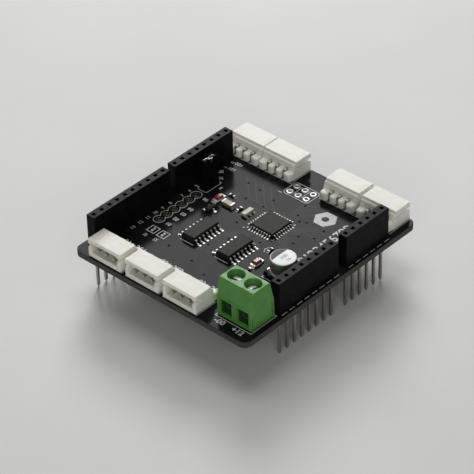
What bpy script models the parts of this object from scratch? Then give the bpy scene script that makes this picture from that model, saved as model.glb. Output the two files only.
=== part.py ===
"""Servo driver board: a stackable shield that carries seven servo ports.

All sizes are in millimetres and every mesh is scaled to metres as it is made.
Places on the board are given as (x, y) in the common stackable-shield footprint:
x runs along the socket strips, y from the analog strip to the digital strip,
and z is the height above the top face of the circuit board.
The part stands on the tips of its long pins, with its origin under its middle.
"""
import bmesh
import bpy
from math import cos, pi, radians, sin
from mathutils import Matrix, Vector

MM = 0.001

# Circuit board
BOARD_X = (14.1, 73.6)
BOARD_Y = (0.1, 53.45)
BOARD_THICKNESS = 1.6
BOARD_CORNER = 2.0
PIN_REACH = 12.3            # board's top face down to the tips of the long pins
BOARD_CENTRE = (sum(BOARD_X) / 2, sum(BOARD_Y) / 2)
SEAT = 0.1                  # clearance under a part that sits on the board

# Socket strips: name, number of ways, place of the first pin
PITCH = 2.54
STRIPS = (
    ("digital_high", 10, (18.796, 50.8)),
    ("digital_low", 8, (45.72, 50.8)),
    ("power", 8, (27.94, 2.54)),
    ("analog", 6, (50.8, 2.54)),
)
STRIP_WIDTH = 2.54
STRIP_HEIGHT = 8.5
SOCKET = (1.0, 0.9)         # socket mouth along and across the strip
CONTACT_TOP = 7.6
CONTACT_NECK = 5.6          # height at which the two springs of a contact are closest
CONTACT_FORK = 1.8          # height at which a contact splits into its springs
SPRING_OUTER = 0.42         # half the width over both springs
WEB = (0.15, 0.4)           # height range of the web that joins a strip's pins

# Square pins
PIN = 0.64
PIN_HOLE = 1.15             # plated hole for a square pin
PIN_TIP = 0.15              # half the width of a pin's blunt tip
LONG_TAPER = 0.8            # length of the point on a long pin
SHORT_TAPER = 0.5
SHORT_TAIL = 3.2            # reach of the short solder tails below the board's top face

# Right-angle servo ports: u runs inwards from the mouth, w across, z up
PORT_WIDTH = 10.0
PORT_DEPTH = 7.95
PORT_HEIGHT = 5.0
PORT_WALL = 1.05
PORT_LIP = 0.85             # radius of the rounded lip below the latch notch
PORT_NOTCH_Z = (3.0, 3.62)
PORT_ROOM_Z = (0.9, 4.1)
PORT_ROOM_BACK = 5.1
PORT_ROOF_BACK = 5.3
PORT_BACK = (6.1, 6.3)      # face of the back wall at its top and at its foot
PORT_SHOULDER = 4.3         # top of the back wall
PORT_POST_TOP = 1.85        # top of the posts that stand between the pins' tails
PORT_PINS_W = (-2.5, 0.0, 2.5)
PORT_PIN_HEIGHT = 2.35
PORT_PIN_BEND = 6.75        # where the pins turn down through the board
LEFT_MOUTH = 14.45
LEFT_PORTS_Y = (43.75, 32.0, 20.35)
RIGHT_MOUTH = 73.4
RIGHT_PORTS_Y = (47.95, 37.55, 18.15, 7.1)

# Screw terminal: u runs inwards from the wire entries, w across, z up
TERMINAL_AT = (17.8, 6.95)
TERMINAL_WIDTH = 10.2
TERMINAL_TOP = 10.2
TERMINAL_ROOF = 7.1         # top of the rooms that hold the rising clamps
TERMINAL_POLES_W = (2.5, -2.5)
SCREW_U = 3.9
SCREW_HEAD = 3.3
SCREW_HEAD_Z = (7.45, 8.7)
SCREW_SHANK = 2.6
SCREW_TIP_Z = 3.9
SCREW_SLOT = (0.55, 0.6)    # width and depth of the driver slot
SCREW_TURNED = (-84, -10)   # degrees, the way each slot points at rest
CLAMP_U = (2.2, 5.8)
CLAMP_HALF = 1.7
CLAMP_Z = (0.95, 5.5)
CLAMP_FLOOR = 0.4
CLAMP_ROOF = 0.8
CLAMP_SIDE = 0.4
CLAMP_BORE = 2.84
LEG_U = 6.7
LEG_HOLE = 1.35
LEG_BAR_Z = (3.2, 3.6)

# Two-pin jumper
JUMPER_AT = (52.8, 46.6)
JUMPER_BASE = (5.08, 2.54, 2.5)
JUMPER_PIN_TOP = 8.3
CAP_SIZE = (4.9, 2.2, 5.7)
CAP_BOTTOM = 2.9
CLIP_SIZE = (3.9, 1.32, 4.6)
CLIP_BOTTOM = 3.3

# Surface-mount electrolytic capacitor
CAN_AT = (38.0, 10.1)
CAN_RADIUS = 3.15
CAN_TOP = 5.4
CAN_BASE = 6.6

# Packages: body length, body width, lead span, top, leads on a side, lead pitch, lead width
SQUARE_PACK = (7.0, 7.0, 9.0, 1.15, 8, 0.8, 0.37)
NARROW_PACK = (8.65, 3.9, 6.0, 1.65, 7, 1.27, 0.42)
SQUARE_PACK_AT = (50.2, 24.7)
LOGIC_CHIPS_AT = ((37.7, 35.4), (37.8, 24.7))
LEAD_THICKNESS = 0.15

# Small two-ended parts: name, place, length, width, height, turned, finish
CHIPS = (
    ("power_lamp", (37.4, 17.6), 3.2, 1.6, 1.1, 0, "red"),
    ("status_lamp", (50.2, 41.2), 3.2, 1.6, 1.1, 0, "red"),
    ("filter_capacitor", (49.8, 37.8), 3.2, 1.6, 1.0, 90, "ceramic"),
    ("resonator", (50.3, 32.1), 3.2, 1.3, 0.9, 0, "ceramic"),
    ("resistor_1", (34.1, 17.4), 1.6, 0.8, 0.5, 0, "dark"),
    ("resistor_2", (43.0, 18.5), 1.6, 0.8, 0.5, 0, "dark"),
    ("resistor_3", (50.2, 34.6), 1.6, 0.8, 0.5, 0, "dark"),
    ("resistor_4", (53.1, 39.5), 1.6, 0.8, 0.5, 90, "dark"),
)
TRANSISTOR_AT = (46.0, 39.8)

# Plated holes with nothing in them: place of the first, columns, rows
SPARE_ROW = ((35.35, 46.4), 6, 1)
PROGRAM_PADS = ((63.63, 25.4), 2, 3)
SPARE_HOLE = 1.0

FINISHES = {
    "board": ((0.045, 0.047, 0.05), 0.45, 0.0),
    "black": ((0.02, 0.02, 0.022), 0.45, 0.0),
    "white": ((0.86, 0.86, 0.82), 0.4, 0.0),
    "green": ((0.11, 0.36, 0.08), 0.45, 0.0),
    "tin": ((0.62, 0.61, 0.57), 0.35, 1.0),
    "steel": ((0.68, 0.68, 0.68), 0.3, 1.0),
    "can": ((0.8, 0.81, 0.82), 0.3, 1.0),
    "ceramic": ((0.72, 0.66, 0.5), 0.5, 0.0),
    "red": ((0.65, 0.05, 0.06), 0.35, 0.0),
    "dark": ((0.03, 0.03, 0.035), 0.5, 0.0),
}


def remove_scene_objects():
    for item in list(bpy.data.objects):
        bpy.data.objects.remove(item, do_unlink=True)


def material(node, finish):
    colour, roughness, metallic = FINISHES[finish]
    made = bpy.data.materials.new(node)
    made.use_nodes = True
    shader = made.node_tree.nodes["Principled BSDF"]
    shader.inputs["Base Color"].default_value = (*colour, 1.0)
    shader.inputs["Roughness"].default_value = roughness
    shader.inputs["Metallic"].default_value = metallic
    return made


def finish_mesh(shape, name):
    """Turn a bmesh in millimetres into a mesh in metres."""
    bmesh.ops.scale(shape, vec=(MM, MM, MM), verts=shape.verts)
    mesh = bpy.data.meshes.new(name)
    shape.to_mesh(mesh)
    shape.free()
    return mesh


def on_board(place, z=0.0):
    """World place of a point given by its footprint place and height above the board."""
    x = place[0] - BOARD_CENTRE[0]
    y = place[1] - BOARD_CENTRE[1]
    return Vector((x, y, z + PIN_REACH)) * MM


def put(node, mesh, place, finish, turned=0.0, round_piece=False, z=0.0):
    """Link one named sub-part at its place on the board."""
    item = bpy.data.objects.new(node, mesh)
    item.location = on_board(place, z)
    item.rotation_euler = (0.0, 0.0, radians(turned))
    bpy.context.scene.collection.objects.link(item)
    if not mesh.materials:
        mesh.materials.append(None)
    item.material_slots[0].link = "OBJECT"
    item.material_slots[0].material = material(node, finish)
    if round_piece:
        mesh.shade_smooth()
        mesh.set_sharp_from_angle(angle=radians(35))
    return item


def combine(first, second, operation):
    """Boolean of two bmeshes in millimetres; returns the result as a bmesh in millimetres."""
    items = []
    for label, shape in (("first", first), ("second", second)):
        mesh = bpy.data.meshes.new(label)
        shape.to_mesh(mesh)
        shape.free()
        item = bpy.data.objects.new(label, mesh)
        bpy.context.scene.collection.objects.link(item)
        items.append(item)
    modifier = items[0].modifiers.new(operation, "BOOLEAN")
    modifier.operation = operation
    modifier.object = items[1]
    evaluated = items[0].evaluated_get(bpy.context.evaluated_depsgraph_get())
    result = bmesh.new()
    result.from_mesh(evaluated.to_mesh())
    for item in items:
        mesh = item.data
        bpy.data.objects.remove(item, do_unlink=True)
        bpy.data.meshes.remove(mesh)
    return result


def cut(body, tool):
    return combine(body, tool, "DIFFERENCE")


def join(body, tool):
    return combine(body, tool, "UNION")


def faces_out(shape):
    bmesh.ops.recalc_face_normals(shape, faces=shape.faces)
    return shape


def prism(outline, axis, low, high, shape=None):
    """Extrude a closed outline. axis z takes (x, y) points, axis y (x, z), axis x (y, z)."""
    shape = shape or bmesh.new()
    order = {"x": (2, 0, 1), "y": (0, 2, 1), "z": (0, 1, 2)}[axis]

    def corner(point, depth):
        values = (point[0], point[1], depth)
        return shape.verts.new([values[index] for index in order])

    ends = [[corner(point, depth) for point in outline] for depth in (low, high)]
    for end in ends:
        shape.faces.new(end)
    for index in range(len(outline)):
        after = (index + 1) % len(outline)
        shape.faces.new((ends[0][index], ends[0][after], ends[1][after], ends[1][index]))
    return faces_out(shape)


def block(x, y, z, shape=None):
    """Box between the given (low, high) pairs."""
    outline = [(x[0], y[0]), (x[1], y[0]), (x[1], y[1]), (x[0], y[1])]
    return prism(outline, "z", z[0], z[1], shape)


def around(value, half):
    return (value - half, value + half)


def disc_outline(centre, radius, sides):
    """Corners of a regular polygon that has flats facing +X when sides is a multiple of four."""
    steps = [2 * pi * (index + 0.5) / sides for index in range(sides)]
    return [(centre[0] + radius * cos(step), centre[1] + radius * sin(step)) for step in steps]


def turned_body(profile, sides):
    """Solid of revolution about z; the profile of (radius, z) starts and ends on the axis."""
    shape = bmesh.new()
    points = [shape.verts.new((radius, 0.0, z)) for radius, z in profile]
    edges = [shape.edges.new(pair) for pair in zip(points, points[1:])]
    bmesh.ops.spin(shape, geom=points + edges, cent=(0, 0, 0), axis=(0, 0, 1),
                   angle=2 * pi, steps=sides, use_duplicate=False)
    bmesh.ops.remove_doubles(shape, verts=shape.verts, dist=0.0005)
    return faces_out(shape)


def square_pin_points(x, tip, taper, point=PIN_TIP):
    """Outline of a pin's pointed lower end, from left to right."""
    half = PIN / 2
    return [(x - half, tip + taper), (x - point, tip), (x + point, tip), (x + half, tip + taper)]


def tapered_body(x, y, levels):
    """Moulded block: levels lists (z, inset) from bottom to top."""
    shape = bmesh.new()
    rings = []
    for z, inset in levels:
        corners = ((x[0] + inset, y[0] + inset), (x[1] - inset, y[0] + inset),
                   (x[1] - inset, y[1] - inset), (x[0] + inset, y[1] - inset))
        rings.append([shape.verts.new((*corner, z)) for corner in corners])
    shape.faces.new(rings[0])
    shape.faces.new(rings[-1])
    for lower, upper in zip(rings, rings[1:]):
        for index in range(4):
            after = (index + 1) % 4
            shape.faces.new((lower[index], lower[after], upper[after], upper[index]))
    return faces_out(shape)


# ---------------------------------------------------------------- circuit board

def hole_places():
    """Every plated hole as (place, diameter)."""
    holes = []
    for _, ways, (x, y) in STRIPS:
        holes += [((x + index * PITCH, y), PIN_HOLE) for index in range(ways)]
    for mouth, inwards, rows in ((LEFT_MOUTH, 1, LEFT_PORTS_Y), (RIGHT_MOUTH, -1, RIGHT_PORTS_Y)):
        for y in rows:
            x = mouth + inwards * PORT_PIN_BEND
            holes += [((x, y + w), PIN_HOLE) for w in PORT_PINS_W]
    for w in TERMINAL_POLES_W:
        holes.append(((TERMINAL_AT[0] + LEG_U, TERMINAL_AT[1] + w), LEG_HOLE))
    for side in (-0.5, 0.5):
        holes.append(((JUMPER_AT[0] + side * PITCH, JUMPER_AT[1]), PIN_HOLE))
    for (x, y), columns, rows in (SPARE_ROW, PROGRAM_PADS):
        for column in range(columns):
            for row in range(rows):
                holes.append(((x + column * PITCH, y + row * PITCH), SPARE_HOLE))
    return holes


def rounded_rectangle(x, y, radius, steps):
    outline = []
    corners = ((x[1], y[1], 0), (x[0], y[1], 90), (x[0], y[0], 180), (x[1], y[0], 270))
    for corner_x, corner_y, start in corners:
        centre_x = corner_x - radius if corner_x == x[1] else corner_x + radius
        centre_y = corner_y - radius if corner_y == y[1] else corner_y + radius
        for step in range(steps + 1):
            angle = radians(start + 90 * step / steps)
            outline.append((centre_x + radius * cos(angle), centre_y + radius * sin(angle)))
    return outline


def make_board():
    outline = rounded_rectangle(BOARD_X, BOARD_Y, BOARD_CORNER, 5)
    slab = prism(outline, "z", -BOARD_THICKNESS, 0.0)
    drills = bmesh.new()
    for place, diameter in hole_places():
        prism(disc_outline(place, diameter / 2, 8), "z", -BOARD_THICKNESS - 1, 1.0, drills)
    slab = cut(slab, drills)
    bmesh.ops.translate(slab, verts=slab.verts, vec=(-BOARD_CENTRE[0], -BOARD_CENTRE[1], 0))
    put("circuit_board", finish_mesh(slab, "circuit_board"), BOARD_CENTRE, "board")


# ---------------------------------------------------------------- socket strips

def strip_housing(ways):
    """Moulded strip with a socket over each pin and a groove beneath for the web."""
    last = (ways - 1) * PITCH
    end = STRIP_WIDTH / 2
    housing = block((-end, last + end), (-end, end), (SEAT, STRIP_HEIGHT))
    sockets = bmesh.new()
    for index in range(ways):
        middle = index * PITCH
        block(around(middle, SOCKET[0] / 2), around(0, SOCKET[1] / 2), (-1, STRIP_HEIGHT + 1), sockets)
    housing = cut(housing, sockets)
    groove = block((-0.62, last + 0.62), (-0.5, 0.5), (-1, WEB[1] + 0.1))
    return cut(housing, groove)


def strip_contacts(ways):
    """Row of forked contacts with long square tails, joined by a thin web inside the groove."""
    half = PIN / 2
    outline = []
    for index in range(ways):
        middle = index * PITCH
        if index:
            outline.append((middle - half, WEB[0]))
        outline += square_pin_points(middle, -PIN_REACH, LONG_TAPER)
        if index < ways - 1:
            outline.append((middle + half, WEB[0]))
    spring = [(half, WEB[1]), (SPRING_OUTER, 1.2), (SPRING_OUTER, CONTACT_TOP), (0.28, CONTACT_TOP),
              (0.16, CONTACT_NECK), (0.25, CONTACT_FORK)]
    for index in reversed(range(ways)):
        middle = index * PITCH
        outline += [(middle + x, z) for x, z in spring]
        outline += [(middle - x, z) for x, z in reversed(spring)]
    return prism(outline, "y", -half, half)


def make_strips():
    for name, ways, place in STRIPS:
        housing = finish_mesh(strip_housing(ways), name)
        put(name + "_header", housing, place, "black")
        contacts = finish_mesh(strip_contacts(ways), name)
        put(name + "_contacts", contacts, place, "tin")


# ---------------------------------------------------------------- servo ports

def port_profile():
    """Side outline of a port: open front with a notch for the plug's latch, stepped rear."""
    low, high = PORT_NOTCH_Z
    lip = [(PORT_LIP - PORT_LIP * cos(radians(a)), low - PORT_LIP + PORT_LIP * sin(radians(a)))
           for a in (0, 30, 60, 90)]
    radius = (high - low) / 2
    notch = [(1.45 + radius * cos(radians(a)), low + radius + radius * sin(radians(a)))
             for a in (-90, -45, 0, 45, 90)]
    roof = [(0, high), (0, PORT_HEIGHT - 0.15), (0.15, PORT_HEIGHT), (PORT_ROOF_BACK, PORT_HEIGHT)]
    rear = [(PORT_ROOF_BACK, PORT_SHOULDER), (PORT_BACK[0], PORT_SHOULDER), (PORT_BACK[1], 2.4),
            (PORT_BACK[1], PORT_POST_TOP)]
    posts = [(PORT_DEPTH - 0.3, PORT_POST_TOP), (PORT_DEPTH - 0.09, PORT_POST_TOP - 0.09),
             (PORT_DEPTH, PORT_POST_TOP - 0.3), (PORT_DEPTH, SEAT)]
    return [(0, SEAT)] + lip + notch + roof + rear + posts


def port_housing():
    half = PORT_WIDTH / 2
    housing = prism(port_profile(), "y", -half, half)
    floor, roof = PORT_ROOM_Z
    sill = floor + 0.45
    room = [(-1, sill), (0.7, sill), (0.9, floor), (PORT_ROOM_BACK, floor),
            (PORT_ROOM_BACK, roof), (-1, roof)]
    housing = cut(housing, prism(room, "y", PORT_WALL - half, half - PORT_WALL))
    gaps = bmesh.new()
    for w in PORT_PINS_W:
        block((PORT_BACK[1] + 0.05, PORT_DEPTH + 1), around(w, 0.55), (-1, PORT_POST_TOP + 1), gaps)
    housing = cut(housing, gaps)
    slot_end = PORT_PINS_W[-1] + 0.45
    return cut(housing, block((4.5, 7.0), (-slot_end, slot_end), around(PORT_PIN_HEIGHT, 0.42)))


def port_pins():
    """Three right-angle pins joined by a web inside the port's back wall."""
    half = PIN / 2
    low = PORT_PIN_HEIGHT - half
    high = PORT_PIN_HEIGHT + half
    bend = PORT_PIN_BEND
    outline = [(0.8, PORT_PIN_HEIGHT - PIN_TIP), (1.2, low), (bend - half, low)]
    outline += square_pin_points(bend, -SHORT_TAIL, SHORT_TAPER)
    outline += [(bend + half, high - 0.2), (bend + half - 0.2, high), (1.2, high),
                (0.8, PORT_PIN_HEIGHT + PIN_TIP)]
    pins = bmesh.new()
    for w in PORT_PINS_W:
        prism(outline, "y", w - half, w + half, pins)
    web_end = PORT_PINS_W[-1] + 0.2
    web = block((PORT_ROOF_BACK, PORT_BACK[0]), (-web_end, web_end), around(PORT_PIN_HEIGHT, half - 0.02))
    return join(pins, web)


def make_ports():
    housing = finish_mesh(port_housing(), "servo_port")
    pins = finish_mesh(port_pins(), "servo_pins")
    sides = (("left", LEFT_MOUTH, LEFT_PORTS_Y, 0), ("right", RIGHT_MOUTH, RIGHT_PORTS_Y, 180))
    for side, mouth, rows, turned in sides:
        for number, y in enumerate(rows, start=1):
            put(f"servo_port_{side}_{number}", housing, (mouth, y), "white", turned)
            put(f"servo_pins_{side}_{number}", pins, (mouth, y), "tin", turned)


# ---------------------------------------------------------------- screw terminal

def terminal_block():
    """Green housing with a wire entry, a clamp room, a screw bore and a leg slot for each pole."""
    half = TERMINAL_WIDTH / 2
    profile = [(0, SEAT), (0, 5.6), (1.4, TERMINAL_TOP), (6.6, TERMINAL_TOP), (7.85, 5.0), (8.0, SEAT)]
    housing = prism(profile, "y", -half, half)
    rooms = bmesh.new()
    bores = bmesh.new()
    entries = bmesh.new()
    slots = bmesh.new()
    for w in TERMINAL_POLES_W:
        block((1.9, 6.1), around(w, 1.9), (0.7, TERMINAL_ROOF), rooms)
        prism(disc_outline((SCREW_U, w), 1.8, 32), "z", 7.35, TERMINAL_TOP + 1, bores)
        entry = [(-1, 1.3), (0, 1.3), (1.95, 1.75), (1.95, 4.9), (-1, 4.9)]
        prism(entry, "y", w - 1.8, w + 1.8, entries)
        block((6.0, LEG_U + 0.4), around(w, 1.2), (-1, LEG_BAR_Z[1] + 0.3), slots)
    for tool in (rooms, bores, entries, slots):
        housing = cut(housing, tool)
    necks = bmesh.new()
    for w in TERMINAL_POLES_W:
        prism(disc_outline((SCREW_U, w), 1.5, 24), "z", TERMINAL_ROOF - 0.2, 7.6, necks)
    housing = cut(housing, necks)
    for side in (-1, 1):
        for u, low, high in ((7.15, 1.0, 4.5), (0.45, 0.3, 3.6)):
            groove = block(around(u, 0.18), around(side * half, 0.3), (low, high))
            housing = cut(housing, groove)
    return housing


def terminal_screw():
    """Slotted screw about the z axis: head, then shank."""
    head = SCREW_HEAD / 2
    shank = SCREW_SHANK / 2
    low, high = SCREW_HEAD_Z
    profile = [(0, high), (head - 0.2, high), (head, high - 0.2), (head, low), (shank, low),
               (shank, SCREW_TIP_Z + 0.3), (shank - 0.3, SCREW_TIP_Z), (0, SCREW_TIP_Z)]
    screw = turned_body(profile, 28)
    width, depth = SCREW_SLOT
    return cut(screw, block((-head - 1, head + 1), around(0, width / 2), (high - depth, high + 1)))


def wire_clamp():
    """Rising cage: a square sleeve whose floor lifts the wire and whose roof takes the screw."""
    outer = block(around(0, (CLAMP_U[1] - CLAMP_U[0]) / 2), around(0, CLAMP_HALF), CLAMP_Z)
    window_z = (CLAMP_Z[0] + CLAMP_FLOOR, CLAMP_Z[1] - CLAMP_ROOF)
    cage = cut(outer, block((-3, 3), around(0, CLAMP_HALF - CLAMP_SIDE), window_z))
    bore = prism(disc_outline((0, 0), CLAMP_BORE / 2, 24), "z", window_z[1] - 0.5, CLAMP_Z[1] + 1)
    return cut(cage, bore)


def terminal_leg():
    """Contact bar above the wire, turned down behind the cage into a solder tail."""
    bar = block((2.5, LEG_U + 0.2), around(0, 1.05), LEG_BAR_Z)
    return join(bar, block(around(LEG_U, 0.2), around(0, 0.45), (-SHORT_TAIL, sum(LEG_BAR_Z) / 2)))


def make_terminal():
    put("terminal_block", finish_mesh(terminal_block(), "terminal_block"), TERMINAL_AT, "green",
        round_piece=True)
    screw = finish_mesh(terminal_screw(), "terminal_screw")
    clamp = finish_mesh(wire_clamp(), "wire_clamp")
    leg = finish_mesh(terminal_leg(), "terminal_leg")
    poles = enumerate(zip(TERMINAL_POLES_W, SCREW_TURNED), start=1)
    for number, (w, turned) in poles:
        axis = (TERMINAL_AT[0] + SCREW_U, TERMINAL_AT[1] + w)
        put(f"terminal_screw_{number}", screw, axis, "steel", turned, round_piece=True)
        put(f"wire_clamp_{number}", clamp, axis, "steel")
        put(f"terminal_leg_{number}", leg, (TERMINAL_AT[0], axis[1]), "tin")


# ---------------------------------------------------------------- jumper

def make_jumper():
    half = PIN / 2
    length, width, height = JUMPER_BASE
    base = block(around(0, length / 2), around(0, width / 2), (SEAT, height))
    sockets = bmesh.new()
    pins = bmesh.new()
    for x in (-PITCH / 2, PITCH / 2):
        block(around(x, half + 0.06), around(0, half + 0.06), (-1, height + 1), sockets)
        profile = square_pin_points(x, -SHORT_TAIL, SHORT_TAPER)
        profile += square_pin_points(x, JUMPER_PIN_TOP, -SHORT_TAPER)[::-1]
        prism(profile, "y", -half, half, pins)
    base = cut(base, sockets)
    base = cut(base, block(around(0, PITCH / 2), (-0.5, 0.5), (-1, WEB[1] + 0.1)))
    put("jumper_base", finish_mesh(base, "jumper_base"), JUMPER_AT, "black")
    pins = join(pins, block(around(0, PITCH / 2), around(0, half - 0.02), WEB))
    put("jumper_pins", finish_mesh(pins, "jumper_pins"), JUMPER_AT, "tin")

    length, width, height = CAP_SIZE
    cap = block(around(0, length / 2), around(0, width / 2), (0, height))
    cap = cut(cap, block(around(0, 2.05), around(0, 0.76), (-1, height + 1)))
    put("jumper_cap", finish_mesh(cap, "jumper_cap"), JUMPER_AT, "black", z=CAP_BOTTOM)

    length, width, height = CLIP_SIZE
    clip = block(around(0, length / 2), around(0, width / 2), (0, height))
    clip = cut(clip, block(around(0, length / 2 - 0.2), around(0, width / 2 - 0.22), (-1, height + 1)))
    put("jumper_clip", finish_mesh(clip, "jumper_clip"), JUMPER_AT, "steel", z=CLIP_BOTTOM)


# ---------------------------------------------------------------- parts soldered to the surface

def make_can():
    """Aluminium can with its crimp ring, on a moulded base over two flat leads."""
    radius = CAN_RADIUS
    rim = 0.35
    shoulder = [(radius - rim + rim * sin(radians(a)), CAN_TOP - rim + rim * cos(radians(a)))
                for a in (0, 30, 60, 90)]
    profile = [(0, CAN_TOP)] + shoulder
    profile += [(radius, 2.1), (radius - 0.25, 1.85), (radius, 1.6), (radius, 1.2), (0, 1.2)]
    can = turned_body(profile, 36)
    put("capacitor_can", finish_mesh(can, "capacitor_can"), CAN_AT, "can", round_piece=True)

    half = CAN_BASE / 2
    chamfer = 1.3
    outline = [(-half, half), (-half, -half + chamfer), (-half + chamfer, -half),
               (half - chamfer, -half), (half, -half + chamfer), (half, half)]
    base = prism(outline, "z", 0.3, 1.1)
    put("capacitor_base", finish_mesh(base, "capacitor_base"), CAN_AT, "black")
    lead = finish_mesh(block(around(0, 0.33), (0.9, 3.85), (0.05, 0.2)), "capacitor_lead")
    put("capacitor_lead_1", lead, CAN_AT, "tin")
    put("capacitor_lead_2", lead, CAN_AT, "tin", turned=180)


def gull_wing(edge, tip, shoulder):
    """Side outline of a formed lead from the body's edge down to its foot."""
    low = 0.04
    t = LEAD_THICKNESS
    return [(edge - 0.25, shoulder - t / 2), (edge + 0.15, shoulder - t / 2),
            (tip - 0.62, low), (tip, low), (tip, low + t), (tip - 0.5, low + t),
            (edge + 0.27, shoulder + t / 2), (edge - 0.25, shoulder + t / 2)]


def pack(sizes, four_sided):
    """Moulded body with its formed leads on two sides, or on all four."""
    length, width, span, top, ways, pitch, lead = sizes
    parting = top * 0.55
    body = tapered_body(around(0, length / 2), around(0, width / 2),
                        ((SEAT, 0.18), (parting, 0.0), (top, 0.2)))
    leads = bmesh.new()
    outline = gull_wing(width / 2, span / 2, parting)
    for quarter in range(4 if four_sided else 2):
        turn = Matrix.Rotation(quarter * (pi / 2 if four_sided else pi), 3, "Z")
        for index in range(ways):
            start = (index - (ways - 1) / 2) * pitch
            before = len(leads.verts)
            prism(outline, "x", start - lead / 2, start + lead / 2, leads)
            leads.verts.ensure_lookup_table()
            bmesh.ops.rotate(leads, verts=leads.verts[before:], cent=(0, 0, 0), matrix=turn)
    return join(body, leads)


def make_packs():
    square = finish_mesh(pack(SQUARE_PACK, True), "microcontroller")
    put("microcontroller", square, SQUARE_PACK_AT, "black")
    narrow = finish_mesh(pack(NARROW_PACK, False), "logic_chip")
    for number, place in enumerate(LOGIC_CHIPS_AT, start=1):
        put(f"logic_chip_{number}", narrow, place, "black")


def chip(length, width, height):
    """Small ceramic body with a slightly prouder metal end at each side."""
    cap = length * 0.2
    inset = 0.04
    outline = [(-length / 2, SEAT / 2), (-length / 2 + cap, SEAT / 2),
               (-length / 2 + cap, SEAT / 2 + inset), (length / 2 - cap, SEAT / 2 + inset),
               (length / 2 - cap, SEAT / 2), (length / 2, SEAT / 2), (length / 2, height),
               (length / 2 - cap, height), (length / 2 - cap, height - inset),
               (-length / 2 + cap, height - inset), (-length / 2 + cap, height), (-length / 2, height)]
    return prism(outline, "y", -width / 2, width / 2)


def make_chips():
    for name, place, length, width, height, turned, finish in CHIPS:
        put(name, finish_mesh(chip(length, width, height), name), place, finish, turned)
    body = tapered_body((-1.45, 1.45), (-0.65, 0.65), ((SEAT, 0.1), (0.55, 0.0), (1.0, 0.12)))
    leads = bmesh.new()
    outline = gull_wing(0.65, 1.25, 0.55)
    for x, side in ((-0.95, 1), (0.95, 1), (0.0, -1)):
        points = [(side * y, z) for y, z in outline]
        prism(points, "x", x - 0.2, x + 0.2, leads)
    put("transistor", finish_mesh(join(body, leads), "transistor"), TRANSISTOR_AT, "dark")


remove_scene_objects()
make_board()
make_strips()
make_ports()
make_terminal()
make_jumper()
make_can()
make_packs()
make_chips()
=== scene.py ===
"""Looks of the servo driver board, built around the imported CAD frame.

Shapes are made in millimetres and scaled to metres as each piece is placed. Places on the
board are in the stackable-shield footprint: x along the socket strips, y from the analog
strip to the digital strips, z above the top face of the board.
"""
import bmesh
import bpy
from math import acos, asin, cos, degrees, hypot, pi, radians, sin, tan
from mathutils import Matrix, Vector


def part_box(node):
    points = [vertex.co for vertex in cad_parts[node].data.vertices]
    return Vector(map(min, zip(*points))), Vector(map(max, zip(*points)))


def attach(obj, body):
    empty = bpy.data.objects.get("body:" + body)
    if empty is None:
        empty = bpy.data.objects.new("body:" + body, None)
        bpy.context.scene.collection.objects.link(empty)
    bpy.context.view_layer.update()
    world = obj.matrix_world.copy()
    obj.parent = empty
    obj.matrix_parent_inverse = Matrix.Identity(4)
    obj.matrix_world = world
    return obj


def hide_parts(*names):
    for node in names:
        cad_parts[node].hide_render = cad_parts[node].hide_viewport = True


MM = 0.001
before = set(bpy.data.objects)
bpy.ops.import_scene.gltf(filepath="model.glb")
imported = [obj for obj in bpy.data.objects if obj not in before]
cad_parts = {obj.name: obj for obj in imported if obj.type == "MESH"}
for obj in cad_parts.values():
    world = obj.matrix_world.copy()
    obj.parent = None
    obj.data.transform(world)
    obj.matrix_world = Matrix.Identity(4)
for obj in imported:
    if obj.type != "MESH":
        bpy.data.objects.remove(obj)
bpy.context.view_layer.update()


# ---- places taken from the frame

def node_box(node):
    """Lowest and highest corners of a CAD node in millimetres."""
    low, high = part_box(node)
    return low / MM, high / MM


BOARD_LOW, BOARD_HIGH = node_box("circuit_board")
THICKNESS = BOARD_HIGH.z - BOARD_LOW.z
PITCH = 2.54
PIN = 0.64
FIRST_PIN = Vector((18.796, 50.8))      # footprint place of the digital strip's first pin
PIN_LOW, PIN_HIGH = node_box("digital_high_contacts")
ORIGIN = Vector((PIN_LOW.x + PIN / 2 - FIRST_PIN.x, (PIN_LOW.y + PIN_HIGH.y) / 2 - FIRST_PIN.y))
STRIPS = ("digital_high", "digital_low", "power", "analog")
PORT_PINS_W = (-2.5, 0.0, 2.5)
PORT_BEND = 6.75                        # depth at which a port's pins turn down
PORT_MIDDLE_Z = 2.35                    # height of a port's pins


def local_box(node):
    """A node's box in footprint places and heights above the board."""
    low, high = node_box(node)
    shift = Vector((ORIGIN.x, ORIGIN.y, BOARD_HIGH.z))
    return low - shift, high - shift


def sized(node):
    """A node's middle, its half size across the board, its lowest z and its highest z."""
    low, high = local_box(node)
    return (low + high).xy / 2, (high - low).xy / 2, low.z, high.z


def middle(node):
    return sized(node)[0]


def strip_pins(strip):
    """Footprint places of a strip's pins."""
    low, high = local_box(strip + "_contacts")
    ways = round((high.x - low.x - PIN) / PITCH) + 1
    y = (low.y + high.y) / 2
    return [Vector((low.x + PIN / 2 + index * PITCH, y)) for index in range(ways)]


def port_place(side, number):
    """A port's name, the middle of its mouth, and the way that its depth runs along x."""
    low, high = local_box(f"servo_port_{side}_{number}")
    inwards = 1 if side == "left" else -1
    mouth = low.x if side == "left" else high.x
    return f"{side}_{number}", Vector((mouth, (low.y + high.y) / 2)), inwards


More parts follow.
